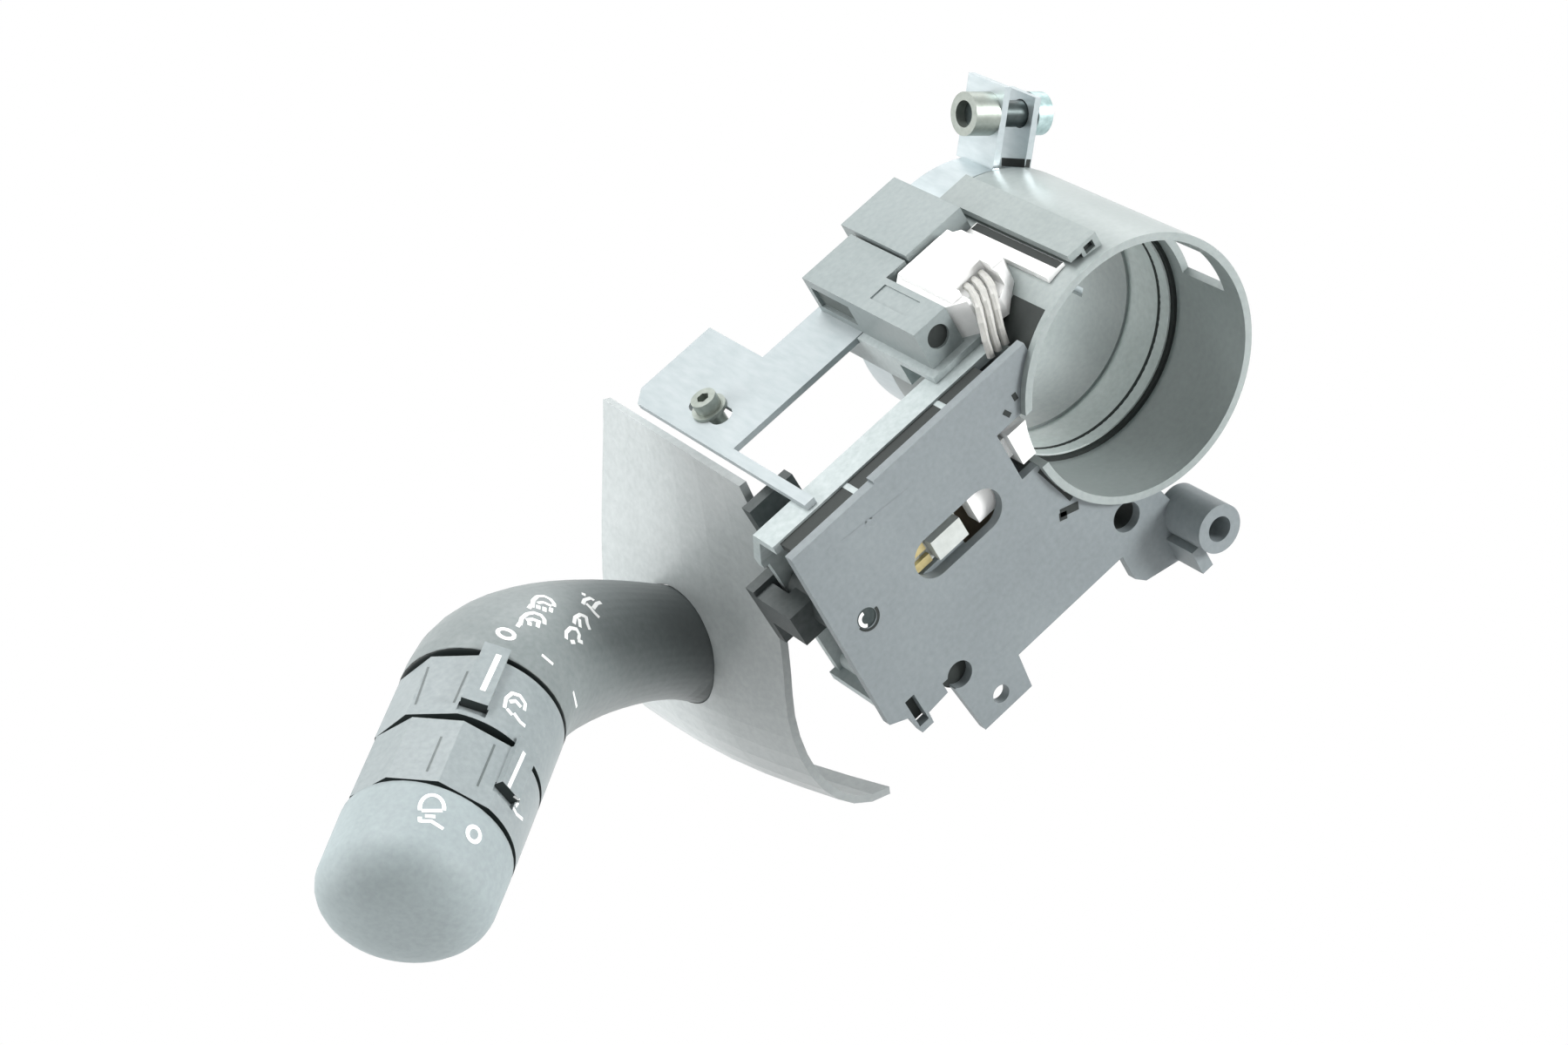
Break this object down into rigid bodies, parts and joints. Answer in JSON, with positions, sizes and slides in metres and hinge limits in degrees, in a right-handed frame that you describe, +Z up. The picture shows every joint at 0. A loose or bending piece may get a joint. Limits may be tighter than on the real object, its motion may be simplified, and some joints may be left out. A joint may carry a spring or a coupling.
{
  "type": "combination stalk switch",
  "caption": "Steering column stalk switch: clamped collar, plate with switch housing and connectors, and an angled lever with shield, turning light rings and end cap.",
  "frame": {"origin": "centre of the collar's mouth, in the plane of the front plate's front face", "axes": "+Y along the steering column away from the driver, +Z up, +X from the lever's side to the collar"},
  "size_m": [0.2025, 0.0838, 0.0936],
  "materials": {
    "collar_plastic": "satin grey moulding",
    "plate_plastic": "flat grey glass filled moulding",
    "housing_plastic": "dark grey moulding",
    "zinc_sheet": "bright zinc plate",
    "dark_steel": "blackened steel",
    "pin_steel": "ground steel",
    "connector_plastic": "light grey moulding",
    "brass": "bare brass",
    "white_plastic": "white acetal",
    "wire_cover": "light insulation",
    "board": "brown laminate",
    "slider_plastic": "natural nylon",
    "shield_plastic": "light grey satin moulding",
    "lever_plastic": "grey satin moulding",
    "ring_plastic": "grey satin moulding",
    "cap_plastic": "grey matte moulding"
  },
  "bodies": {
    "switch_body": {"hub_collar": "collar_plastic", "column_bush": "collar_plastic", "front_plate": "plate_plastic", "switch_housing": "housing_plastic", "swing_pin": "pin_steel", "connector_base": "housing_plastic", "mounting_bracket": "zinc_sheet", "bracket_screw": "zinc_sheet", "housing_screws": "dark_steel", "clamp_band": "zinc_sheet", "clamp_bolt": "dark_steel", "clamp_nut": "zinc_sheet", "connector_shroud_front": "connector_plastic", "connector_shroud_rear": "connector_plastic", "connector_pins_front": "brass", "connector_pins_rear": "brass", "wire_plug": "white_plastic", "plug_lock_bar": "white_plastic", "wires": "wire_cover", "contact_board": "board", "pawl_pin": "pin_steel"},
    "swing_carrier": {"swing_carrier": "slider_plastic", "pull_pin": "pin_steel", "detent_spring": "pin_steel"},
    "lever": {"lever_root": "housing_plastic", "dust_shield": "shield_plastic", "lever_elbow": "lever_plastic", "knob_core": "housing_plastic", "end_cap": "cap_plastic"},
    "light_ring": {"light_ring": "ring_plastic"},
    "fog_ring": {"fog_ring": "ring_plastic"},
    "contact_slider": {"contact_slider": "slider_plastic", "contact_leaves": "brass"},
    "detent_plunger": {"detent_plunger": "dark_steel"},
    "cancel_pawl": {"cancel_pawl": "white_plastic"}
  },
  "joints": [
    {"name": "turn_swing", "type": "hinge", "parent": "switch_body", "child": "swing_carrier", "pos_m": [-0.0673, 0, -0.0002], "axis": [0, 1, 0], "range_deg": [-7, 7]},
    {"name": "flash_pull", "type": "hinge", "parent": "swing_carrier", "child": "lever", "pos_m": [-0.062, 0.031, 0], "axis": [0, 0, 1], "range_deg": [0, 5], "stiffness_Nm_per_rad": 6},
    {"name": "light_turn", "type": "hinge", "parent": "lever", "child": "light_ring", "pos_m": [-0.1269, 0.0324, 0.0163], "axis": [-0.7391, -0.6655, 0.1045], "range_deg": [-70, 0]},
    {"name": "fog_turn", "type": "hinge", "parent": "lever", "child": "fog_ring", "pos_m": [-0.1269, 0.0324, 0.0163], "axis": [-0.7391, -0.6655, 0.1045], "range_deg": [0, 35]},
    {"name": "detent_plunge", "type": "slide", "parent": "swing_carrier", "child": "detent_plunger", "axis": [1, 0, 0], "range_m": [-0.001, 0], "stiffness_N_per_m": 1500, "springref_m": 0.001, "deforming": ["detent_spring"]},
    {"name": "contact_slide", "type": "slide", "parent": "switch_body", "child": "contact_slider", "axis": [1, 0, 0], "range_m": [-0.0016, 0.0016]},
    {"name": "pawl_swing", "type": "hinge", "parent": "switch_body", "child": "cancel_pawl", "pos_m": [-0.0355, 0, 0.0045], "axis": [0, 1, 0], "range_deg": [-6, 6], "stiffness_Nm_per_rad": 0.05}
  ],
  "couplings": [
    {"joint": "contact_slide", "follows": "turn_swing", "m_per_rad": 0.0122}
  ]
}
